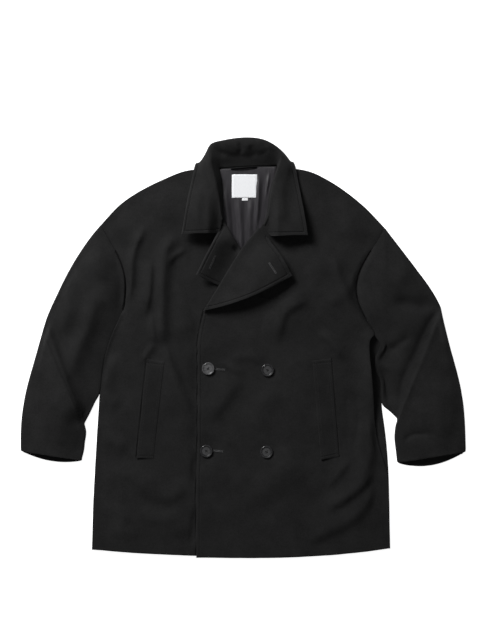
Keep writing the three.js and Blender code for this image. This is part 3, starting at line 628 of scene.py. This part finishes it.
# Sleeves
sleeveLook = dict(
    crown=5.5, reach=50.0, shoulderEnd=120.0, innerReach=50.0, foldsFrom=12.0, wavesFrom=24.0,
    waves=((80.0, 2.2, 21), (34.0, 0.9, 22)), top=(3.2, 6.2), wrinkles=0.32,
    rimTilt=0.3, rimHeight=6.5, cuffOpen=26.0, close=3.0, closeReach=26.0,
    pushes=((13.0, 4, 18.0), (12.0, -72, 26.0)), push=(270.0, 304.0), sag=9.0, sagWidth=20.0,
    underHeight=1.0, underFrom=16.0, underWaves=((60.0, 1.6, 24),),
)
sleeveInner = {
    "sleeve_right": [(-245, 76), (-261, 46), (-273.5, 16), (-285, -22), (-291.5, -62), (-295.5, -96)],
    "sleeve_left": [(270, 28), (279, 3), (272.5, -20), (268, -42), (268, -67), (278, -99)],
}
cuffLine = {
    "sleeve_right": [(x, -208 - 25 * (x + 454) / 124) for x in range(-432, -350, 4)],
    "sleeve_left": [(x, -238 + 25 * (x - 316) / 139) for x in range(338, 434, 4)],
}
for nodeName in sleeveFolds:
    look = sleeveLook
    piece = clothFrom(nodeName)
    points, normals = planPoints(piece), readVectors(piece, "normal")
    cuff = PlanTree([Vector(p) for p in cuffLine[nodeName]]).distances(points)
    rim = [Vector((x, y)) for (x, y, z), n, c in zip(points, normals, cuff)
           if abs(n[2]) < look["rimTilt"] and z < look["rimHeight"] and c > look["cuffOpen"]]
    away = PlanTree(rim).distances(points)
    inner = PlanTree(smoothLine(sleeveInner[nodeName])).distances(points)
    x, y = points[:, 0].copy(), points[:, 1].copy()
    crown = look["crown"] * softStep(away / look["reach"])
    shoulder = shoulderRidge(armholes.distances(points), y, look["shoulderEnd"])
    shoulder *= softStep(inner / look["innerReach"])
    folds = foldHeight(sleeveFolds[nodeName], x, y) * softStep(away / look["foldsFrom"])
    wave = waves(points, look["waves"]) * softStep(away / look["wavesFrom"])
    topShare = rise(points[:, 2], *look["top"])
    points[:, 2] += (crown + shoulder + folds + wave) * topShare
    if nodeName == "sleeve_right":  # closes on the body below the armhole
        closing = rise(y, -125, -95) * rise(y, 130, 84)
        points[:, 0] += look["close"] * (1 - softStep(inner / look["closeReach"])) * closing
    else:  # leaves the body at the underarm and again above the elbow, and sags at the elbow
        points[:, 0] += humps(y, look["pushes"]) * (1 - rise(x, *look["push"]))
        points[:, 1] -= look["sag"] * hump(np.hypot(x - 284, y + 108), look["sagWidth"])
    under = np.maximum(waves(points, look["underWaves"]), 0.0) * softStep(away / look["underFrom"])
    points[:, 2] += np.where(points[:, 2] < look["underHeight"], under, 0.0)
    setPlanPoints(piece, points)
    addWrinkles(piece, 23, look["wrinkles"])
    storeLines(piece, seams=sunkShadedArmholes)
    piece.data.materials.append(coating)
print("sleeves")

# Lapels, collar and welts follow the fronts that they lie on, and their free edges stand off them
standLook = dict(
    leafLeft=17.0, left=(46.0, 72.0), leafRight=18.0, right=(-48.0, -74.0), leafLow=(352.0, 242.0),
    cornerDrop=0.32, corner=(-88.0, -124.0), backRoll=12.0, roll=(368.0, 418.0), rollHalf=(40.0, 80.0),
    overLapel=15.5, overReach=66.0, overLow=(238.0, 178.0), droop=0.4, droopAway=(80.0, 114.0),
    underLapel=17.0, underReach=56.0, underLow=(250.0, 210.0),
)
overLine = ((-81, 74), (0.835, -0.55))  # a place, and the way across
underLine = ((-95, 147), (0.892, -0.451))


def leafStand(points):
    look = standLook
    x, y = points[:, 0], points[:, 1]
    right = look["leafRight"] * rise(x, *look["right"]) * (1 - look["cornerDrop"] * rise(x, *look["corner"]))
    return (right + look["leafLeft"] * rise(x, *look["left"])) * rise(y, *look["leafLow"])


def rollShare(points):  # behind the neck
    sideways = rise(np.abs(points[:, 0] - 5), *standLook["rollHalf"])
    return rise(points[:, 1], *standLook["roll"]) * (1 - sideways)


def collarStand(points):
    return leafStand(points) + standLook["backRoll"] * rollShare(points) * rise(points[:, 2], 4.0, 7.5)


def acrossFrom(line, points):
    (placeX, placeY), (wayX, wayY) = line
    return (points[:, 0] - placeX) * wayX + (points[:, 1] - placeY) * wayY


def overLapelStand(points):
    look = standLook
    away = acrossFrom(overLine, points)
    droop = 1 - look["droop"] * rise(away, *look["droopAway"])
    stand = look["overLapel"] * softStep(away / look["overReach"]) * droop
    return stand * rise(points[:, 1], *look["overLow"])


def underLapelStand(points):
    look = standLook
    inside = softStep(acrossFrom(underLine, points) / look["underReach"])
    return look["underLapel"] * (1 - inside) * rise(points[:, 1], *look["underLow"])


lapelRight = clothFrom("lapel_right")
lapelLeft = clothFrom("lapel_left")
collar = clothFrom("collar")
collarFolds = [
    ([(-46, 419), (-42, 402), (-38, 390)], 9, 7, -2.0),
    ([(-8, 420), (-3, 408), (-9, 394)], 6, 5, -1.8),
    ([(15, 413), (20, 403), (26, 392)], 8, 6, -2.2),
    ([(40, 421), (46, 410), (50, 398)], 8, 6, -1.4),
    ([(-62, 404), (-36, 395), (-8, 391), (30, 393), (60, 400)], 6, 8, -1.4),
    ([(78, 332), (79, 295), (84, 260)], 12, 9, 2.2),
    ([(-86, 330), (-92, 290), (-96, 258)], 14, 12, 1.8),
    ([(-18, 206), (-14, 199), (-8, 194)], 6, 5, -3.0),
]
collarLook = dict(
    frontEnd=(335.0, 371.0), wrinkles=0.26, neckPush=6.0, neckMiddle=262.0, neckLength=45.0,
    backDown=3.5, leafDown=5.5, full=(-60, 411), fullWidth=20.0, fullOut=6.0, fullUp=5.0,
)
stands = ((lapelRight, 31, underLapelStand), (lapelLeft, 32, overLapelStand), (collar, 33, collarStand))
for piece, seed, stand in stands:
    look = collarLook
    points = planPoints(piece)
    onFront = 1 - rise(points[:, 1], *look["frontEnd"])
    points[:, 2] += bodyLift(points) * onFront + stand(points)
    if piece is not lapelLeft:
        points[:, 2] += foldHeight(collarFolds, points[:, 0], points[:, 1])
    if piece is collar:
        x, y = points[:, 0].copy(), points[:, 1].copy()
        atNeck = rise(x, 20, 30) * (1 - rise(x, 42, 82))
        points[:, 0] += look["neckPush"] * hump(y - look["neckMiddle"], look["neckLength"]) * atNeck
        leafDown = look["leafDown"] * rise(y, 300, 238) * rise(x, -40, -50)
        points[:, 1] -= look["backDown"] * rollShare(points) + leafDown
        fuller = hump(np.hypot(x - look["full"][0], y - look["full"][1]), look["fullWidth"])
        points[:, 0] -= look["fullOut"] * fuller
        points[:, 1] += look["fullUp"] * fuller
    setPlanPoints(piece, points)
    addWrinkles(piece, seed, look["wrinkles"])
storeLines(lapelRight, [lapelRightEdge])
storeLines(lapelLeft, [lapelLeftEdge])
storeLines(collar, [collarRightEdge, collarLeftEdge])
weltLook = dict(stand=1.2, sink=2.5, reach=34.0, hang=6.5, hangLow=(-185.0, -221.0), stitchRows=(5.0, 9.0),
                endInset=6.0)


def weltPoints(nodeName):  # from the mouth's low end round to its high end
    a, b, c, d = (Vector(p) for p in weltCorners[nodeName])
    b.y -= weltLook["hang"] if nodeName == "welt_right" else 0.0
    return a, b, c, d


welts = {}
for nodeName in weltCorners:
    look = weltLook
    piece = welts[nodeName] = clothFrom(nodeName)
    points = planPoints(piece)
    a, b, c, d = weltPoints(nodeName)
    mouth = softStep(PlanTree(straightLine(a, d)).distances(points) / look["reach"])
    points[:, 2] += bodyLift(points) + look["stand"] - look["sink"] * mouth
    if nodeName == "welt_right":
        points[:, 1] -= look["hang"] * mouth * rise(points[:, 1], *look["hangLow"])
    setPlanPoints(piece, points)
    storeLines(piece, [straightLine(a, b, 60), straightLine(c, d, 60)])
for piece in (back, frontRight, frontLeft, *welts.values()):
    piece.data.materials.append(flatCoating)
for piece in (lapelRight, lapelLeft, collar):
    piece.data.materials.append(coating)
print("lapels, collar and welts")

# Lining
liningFolds = [
    ([(-36, 320), (-31, 260), (-27, 190)], 7, 6, 2.0),
    ([(-22, 298), (-17, 250), (-13, 188)], 5, 4, -1.5),
    ([(-8, 300), (-5, 250), (-3, 190)], 6, 5, 1.8),
    ([(6, 298), (7, 240), (6, 188)], 5, 4, -1.4),
    ([(18, 300), (15, 268), (14, 238)], 7, 6, 1.8),
    ([(32, 352), (31, 300), (27, 246)], 5, 4, 2.6),
    ([(45, 346), (44, 300), (39, 250)], 4, 3.4, -3.0),
    ([(62, 352), (53, 311), (48, 276)], 4, 4, -3.2),
    ([(54, 356), (48, 320), (47, 296)], 4, 3.4, 2.2),
]
liningLook = dict(
    dark=(0.012, 0.0108, 0.0132), light=(0.027, 0.024, 0.029), roughness=0.44, specular=0.4, sheen=0.15,
    slubScale=240.0, slubStretch=0.12, ribPitch=0.42, ribDepth=0.05, deepest=-0.6, wrinkles=0.16,
)


def liningMaterial(name, look):
    material, tree, place = startMaterial(name)
    drawn = mapped(tree, place, (1.0, look["slubStretch"], 1.0))
    slub = noiseTexture(tree, drawn, look["slubScale"], 4.0, 0.55)
    rib = stripes(tree, place, look["ribPitch"], 0.8, 1.0, "Y")
    colour = ramp(tree, slub, [(0.3, look["dark"]), (0.7, look["light"])])
    height = maths(tree, "MULTIPLY", maths(tree, "ADD", rib, slub), look["ribDepth"])
    finishMaterial(tree, look, colour, height, 0.7)
    return material


lining = clothFrom("back_lining", "lining_cloth", 2)
points = planPoints(lining)
inside = rise(points[:, 1], 178, 192) * rise(points[:, 1], 366, 326)
folds = foldHeight(liningFolds, points[:, 0], points[:, 1])
points[:, 2] += np.maximum(folds, liningLook["deepest"]) * inside
setPlanPoints(lining, points)
addWrinkles(lining, 41, liningLook["wrinkles"])
lining.data.materials.append(liningMaterial("satin lining", liningLook))
print("lining")

# Label, size tab and hanger loop
tapeLook = dict(ribPitch=0.5, slubScale=500.0)
labelLook = dict(colour=(0.93, 0.94, 0.98), roughness=0.62, specular=0.5, lift=0.8)
loopLook = dict(colour=(0.002, 0.002, 0.0022), roughness=0.8, specular=0.03,
                middle=2.0, raised=2.6, width=0.6, slant=0.06, bow=2.0, bowed=(26.0, 6.0))


def tapeMaterial(name, look):
    material, tree, place = startMaterial(name)
    rib = stripes(tree, place, tapeLook["ribPitch"], 0.4)
    slub = noiseTexture(tree, place, tapeLook["slubScale"], 3.0)
    tone = ramp(tree, slub, [(0.2, shaded(look["colour"], 0.9)), (0.8, shaded(look["colour"], 1.06))])
    finishMaterial(tree, look, tone, maths(tree, "ADD", rib, slub), 0.5, 0.08)
    return material


labelCloth = tapeMaterial("woven label", labelLook)
loopTape = tapeMaterial("black tape", loopLook)
neckLabel = clothFrom("neck_label", "label_cloth", kind="SIMPLE")
sizeTab = clothFrom("size_tab")
hangerLoop = clothFrom("hanger_loop", "hanger_loop_tape")
look = loopLook
points = planPoints(hangerLoop)  # a narrow tape, bowed up off the lining
low = points[:, 1].min()
beside = points[:, 0] - look["middle"]
points[:, 1] = low + look["raised"] + look["width"] * (points[:, 1] - low) + look["slant"] * beside
points[:, 2] += look["bow"] * rise(np.abs(beside), *look["bowed"])
setPlanPoints(hangerLoop, points)
setPlanPoints(neckLabel, planPoints(neckLabel) + (0.0, 0.0, labelLook["lift"]))
for piece, material in ((neckLabel, labelCloth), (sizeTab, labelCloth), (hangerLoop, loopTape)):
    piece.data.materials.append(material)
print("label, tab and loop")

# Stitches: one thread bump, laid along lines on a finished piece
threadLook = dict(
    length=2.5, pitch=3.2, width=0.46, height=0.36, turn=0.0, sway=3.0, shortest=0.92, longest=1.06,
    raised=0.18, colour=(0.016, 0.016, 0.017), roughness=0.6, specular=0.3, plyPitch=0.35, plyTurn=30.0,
)


def threadMaterial(name, colour, roughness=threadLook["roughness"]):
    look = {**threadLook, "roughness": roughness}
    material, tree, place = startMaterial(name)
    ply = stripes(tree, mapped(tree, place, turn=look["plyTurn"]), look["plyPitch"], 0.6)
    tone = ramp(tree, ply, [(0.0, shaded(colour, 0.7)), (1.0, shaded(colour, 1.3))])
    finishMaterial(tree, look, tone, ply, 0.4, 0.1)
    return material


deselectAll()
bpy.ops.mesh.primitive_uv_sphere_add(segments=6, ring_count=4, radius=0.5)
bead = bpy.context.object
bead.rotation_euler = (0.0, math.radians(90), 0.0)
bpy.ops.object.transform_apply(location=False, rotation=True, scale=False)
beadCorners = np.array([v.co for v in bead.data.vertices])
beadFaces = [tuple(p.vertices) for p in bead.data.polygons]
bpy.data.objects.remove(bead)


def evenPlaces(line, pitch):
    places, left = [], pitch / 2
    for a, b in zip(line, line[1:]):
        long = (b - a).length
        while left <= long:
            places.append((a.lerp(b, left / long), (b - a).normalized()))
            left += pitch
        left -= long
    return places


def stitchRow(line, on, **changes):
    return {**threadLook, "line": line, "on": on, **changes}


def layStitches(name, rows, material):
    corners, faces = [], []
    for row in rows:
        surface = BVHTree.FromObject(row["on"], bpy.context.evaluated_depsgraph_get())
        for place, way in evenPlaces(row["line"], row["pitch"]):
            above = Vector(((place.x + originX) * mm, (place.y + originY) * mm, 0.2))
            hit, normal = surface.ray_cast(above, Vector((0, 0, -1)))[:2]
            if hit is None:
                continue
            sway = dice.uniform(-row["sway"], row["sway"])
            angle = math.atan2(way.y, way.x) + math.radians(row["turn"] + sway)
            along = Vector((math.cos(angle), math.sin(angle), 0.0))
            along = (along - normal * along.dot(normal)).normalized()
            turn = Matrix((along, normal.cross(along), normal)).transposed()
            length = row["length"] * dice.uniform(row["shortest"], row["longest"])
            size = np.array(Vector((length, row["width"], row["height"])))
            shift = Vector((place.x + originX, place.y + originY, hit.z / mm))
            shift += normal * row["height"] * row["raised"]
            first = len(corners)
            corners += [((turn @ Vector(corner * size)) + shift) * mm for corner in beadCorners]
            faces += [tuple(first + i for i in face) for face in beadFaces]
    mesh = bpy.data.meshes.new(name)
    mesh.from_pydata(corners, [], faces)
    piece = addObject(name, mesh)
    smoothShade(piece)
    mesh.materials.append(material)
    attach(piece, "root")


thread = threadMaterial("topstitch thread", threadLook["colour"])
inset = coatingLook["stitchInset"]
edgeStitches = {
    "front_edge_stitching": [(frontLine, -inset, frontLeft)],
    "lapel_stitching": [(lapelLeftEdge, inset, lapelLeft), (lapelRightEdge, -inset, lapelRight)],
    "collar_stitching": [(collarRightEdge, -inset, collar), (collarLeftEdge, inset, collar)],
}
for name, lines in edgeStitches.items():
    layStitches(name, [stitchRow(insetLine(line, inward), on) for line, inward, on in lines], thread)
weltRows = []
for nodeName, piece in welts.items():
    a, b, c, d = weltPoints(nodeName)
    up, over = (d - a).normalized(), (b - a).normalized()
    for inward in weltLook["stitchRows"]:
        weltRows.append(stitchRow([a + up * inward, b + up * inward], piece))
        weltRows.append(stitchRow([d - up * inward, c - up * inward], piece))
    end = over * weltLook["endInset"]
    weltRows.append(stitchRow([a + end, d + end], piece))
    weltRows.append(stitchRow([b - end, c - end], piece))
layStitches("welt_stitching", weltRows, thread)
print("topstitching")

# Buttonholes: purled stitches on both sides of a slit, with a bar at each end
purl = dict(length=1.7, pitch=0.55, width=0.55, height=0.7)
bar = {**purl, "length": 1.9}
holeLook = dict(halfGap=0.2, barHalf=2.0, roughness=0.45)
buttonholes = {  # slits, the piece that they are cut in, and the thread's colour
    "front_buttonholes": (
        [((-60, -45), (-37, -46)), ((-64, -211), (-41, -213))], frontLeft, (0.085, 0.085, 0.087)),
    "lapel_buttonhole": ([((53, 171), (67, 150))], lapelLeft, (0.075, 0.075, 0.077)),
    "under_lapel_buttonhole": ([((-56, 186), (-68, 160))], lapelRight, (0.05, 0.05, 0.051)),
}
for name, (slits, on, colour) in buttonholes.items():
    rows = []
    for start, end in slits:
        a, b = Vector(start), Vector(end)
        way = (b - a).normalized()
        across = Vector((-way.y, way.x))
        for sideways in (-1, 1):
            shift = across * sideways * (holeLook["halfGap"] + purl["length"] / 2)
            rows.append(stitchRow([a + shift, b + shift], on, turn=90.0, **purl))
        for tip in (a, b):
            half = across * holeLook["barHalf"]
            rows.append(stitchRow([tip - half, tip + half], on, **bar))
    layStitches(name, rows, threadMaterial(name + " thread", colour, holeLook["roughness"]))
print("buttonholes")

# Buttons: turned with a thick rim and a dish, four holes, and thread crossed over them
buttonLook = dict(
    dark=(0.008, 0.008, 0.0085), light=(0.028, 0.028, 0.030), roughness=0.24, specular=0.5, coat=0.45,
    coatRoughness=0.12, veinScale=130.0, veinStretch=3.2, veinTurn=24.0, fineScale=1400.0,
)
# painted highlight: the button at the upper edge gets a paler copy of the horn, standing in for the gloss
# that light puts on it
litButtonLook = {**buttonLook, "dark": (0.04, 0.04, 0.041), "light": (0.105, 0.105, 0.108)}


def hornMaterial(name, look):
    material, tree, place = startMaterial(name)
    drawn = mapped(tree, place, (1.0, look["veinStretch"], 1.0), look["veinTurn"])
    vein = noiseTexture(tree, drawn, look["veinScale"], 5.0, 0.6, 1.4)
    fine = noiseTexture(tree, place, look["fineScale"], 2.0)
    colour = ramp(tree, vein, [(0.35, look["dark"]), (0.66, look["light"])])
    finishMaterial(tree, look, colour, fine, 0.25, 0.05)
    return material


buttonShape = dict(facets=64, rim=1.5, slope=2.6, dish=1.45, holeRadius=0.95, holeSpread=1.55, holeFacets=20,
                   smoothBelow=52.0)


def turnedButton(radius, height):
    shape = buttonShape
    foot, inner = radius - 1.1, radius - shape["rim"]
    profile = [  # ring and level, from the foot's edge over the rim into the dish
        (radius - 0.3, 0.4), (radius, 1.0), (radius, height - 1.3), (radius - 0.25, height - 0.6),
        (radius - 0.7, height - 0.15), (foot, height), (inner, height - 0.1),
        (inner - shape["slope"], height - shape["dish"]),
        (inner - shape["slope"] - 0.8, height - shape["dish"] - 0.2),
    ]
    deselectAll()
    ring, level = foot, 0.0
    bpy.ops.mesh.primitive_circle_add(vertices=shape["facets"], radius=ring * mm, fill_type="NGON")
    button = bpy.context.object
    bpy.ops.object.mode_set(mode="EDIT")
    bpy.ops.mesh.select_all(action="SELECT")
    for nextRing, nextLevel in profile:
        bpy.ops.mesh.extrude_region_move(TRANSFORM_OT_translate={"value": (0, 0, (nextLevel - level) * mm)})
        share = nextRing / ring
        bpy.ops.transform.resize(value=(share, share, 1), center_override=(0, 0, nextLevel * mm))
        ring, level = nextRing, nextLevel
    bpy.ops.mesh.select_all(action="SELECT")
    bpy.ops.mesh.normals_make_consistent(inside=False)
    bpy.ops.object.mode_set(mode="OBJECT")
    spread, hole = shape["holeSpread"] * mm, shape["holeRadius"] * mm
    for holeX, holeY in ((spread, spread), (-spread, spread), (-spread, -spread), (spread, -spread)):
        deselectAll()
        bpy.ops.mesh.primitive_cylinder_add(vertices=shape["holeFacets"], radius=hole, depth=0.02,
                                            location=(holeX, holeY, 0.0))
        drill = bpy.context.object
        applyModifier(button, "BOOLEAN", object=drill, operation="DIFFERENCE", solver="EXACT")
        bpy.data.objects.remove(drill)
    makeActive(button)
    bpy.ops.object.shade_smooth_by_angle(angle=math.radians(shape["smoothBelow"]))
    return button


horn = hornMaterial("grey horn", buttonLook)
highlitHorn = hornMaterial("horn with painted highlight", litButtonLook)
buttonNodes = [name for name in nodes if name.startswith("button_")]
low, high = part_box(buttonNodes[0])
pattern = turnedButton((high[0] - low[0]) / 2 / mm, (high[2] - low[2]) / mm)
crossLook = dict(length=4.8, pitch=0.8, width=0.5, height=0.8)
strands = (-0.45, 0.0, 0.45)
threadRows = []
for name in buttonNodes:
    low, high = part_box(name)
    across, up = (low[0] + high[0]) / 2, (low[1] + high[1]) / 2
    button = addObject(name + "_turned", pattern.data.copy())
    spin = Matrix.Rotation(dice.uniform(0, 0.5), 4, "Z")
    button.data.transform(Matrix.Translation((across, up, low[2])) @ spin)
    button.data.materials.append(highlitHorn if name == "button_upper_edge" else horn)
    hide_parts(name)
    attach(button, "root")
    middle = Vector((across / mm - originX, up / mm - originY))
    for turn in (45, 135):
        way = Vector(heading(turn))
        reach = way * (crossLook["pitch"] / 2)
        for sideways in strands:
            strand = middle + Vector((-way.y, way.x)) * sideways
            threadRows.append(stitchRow([strand - reach, strand + reach], button, **crossLook))
bpy.data.objects.remove(pattern)
layStitches("button_thread", threadRows, threadMaterial("button thread", (0.02, 0.02, 0.021)))
print("buttons")

# Studio: a pale lit table, a soft key from the upper left and a weak fill from above
studioLook = dict(
    floorColour=(0.9, 0.9, 0.9), floorGlow=0.88, floorRoughness=0.9, floorSize=40.0, floorDepth=0.3,
    keyPower=198.0, keySize=1.5, keyHeight=34.0, keyDistance=4.0,
    fillPower=10.0, fillSize=2.6, fillPlace=(0.3, -0.5, 3.6), worldStrength=0.09,
)
look = studioLook
white = (1.0, 1.0, 1.0, 1.0)
deselectAll()
under = -look["floorDepth"] * mm
bpy.ops.mesh.primitive_plane_add(size=look["floorSize"], location=(0.0, 0.0, under))
floor = bpy.context.object
floor.name = "studio_floor"
floorMaterial = bpy.data.materials.new("pale floor")
floorMaterial.use_nodes = True
floorShader = floorMaterial.node_tree.nodes["Principled BSDF"]
for socket, value in (("Base Color", (*look["floorColour"], 1.0)), ("Roughness", look["floorRoughness"]),
                      ("Emission Color", white), ("Emission Strength", look["floorGlow"])):
    floorShader.inputs[socket].default_value = value
floor.data.materials.append(floorMaterial)


def areaLight(name, place, size, power):
    data = bpy.data.lights.new(name, "AREA")
    data.size = size
    data.energy = power
    lamp = addObject(name, data)
    lamp.location = place
    lamp.rotation_euler = (-Vector(place)).to_track_quat("-Z", "Y").to_euler()


away, high = (part * look["keyDistance"] for part in heading(look["keyHeight"]))
keyPlace = (towardsKey[0] * away, towardsKey[1] * away, high)
areaLight("key", keyPlace, look["keySize"], look["keyPower"])
areaLight("fill", look["fillPlace"], look["fillSize"], look["fillPower"])
world = bpy.data.worlds.new("studio")
world.use_nodes = True
background = world.node_tree.nodes["Background"].inputs
background["Color"].default_value = white
background["Strength"].default_value = look["worldStrength"]
bpy.context.scene.world = world
bpy.context.scene.view_settings.view_transform = "Standard"

# Camera: straight above, with the plan's zero at its place in the picture
view = dict(width=480, height=640, zeroX=243, zeroY=347, mmPerPixel=2.05, lens=85.0, farthest=50.0)
cameraData = bpy.data.cameras.new("camera")
cameraData.lens = view["lens"]
cameraData.clip_end = view["farthest"]
camera = addObject("camera", cameraData)
pixel = view["mmPerPixel"]
camera.location = (
    ((view["width"] / 2 - view["zeroX"]) * pixel + originX) * mm,
    ((view["zeroY"] - view["height"] / 2) * pixel + originY) * mm,
    view["height"] * pixel * view["lens"] / cameraData.sensor_width * mm)
bpy.context.scene.camera = camera
print("studio")
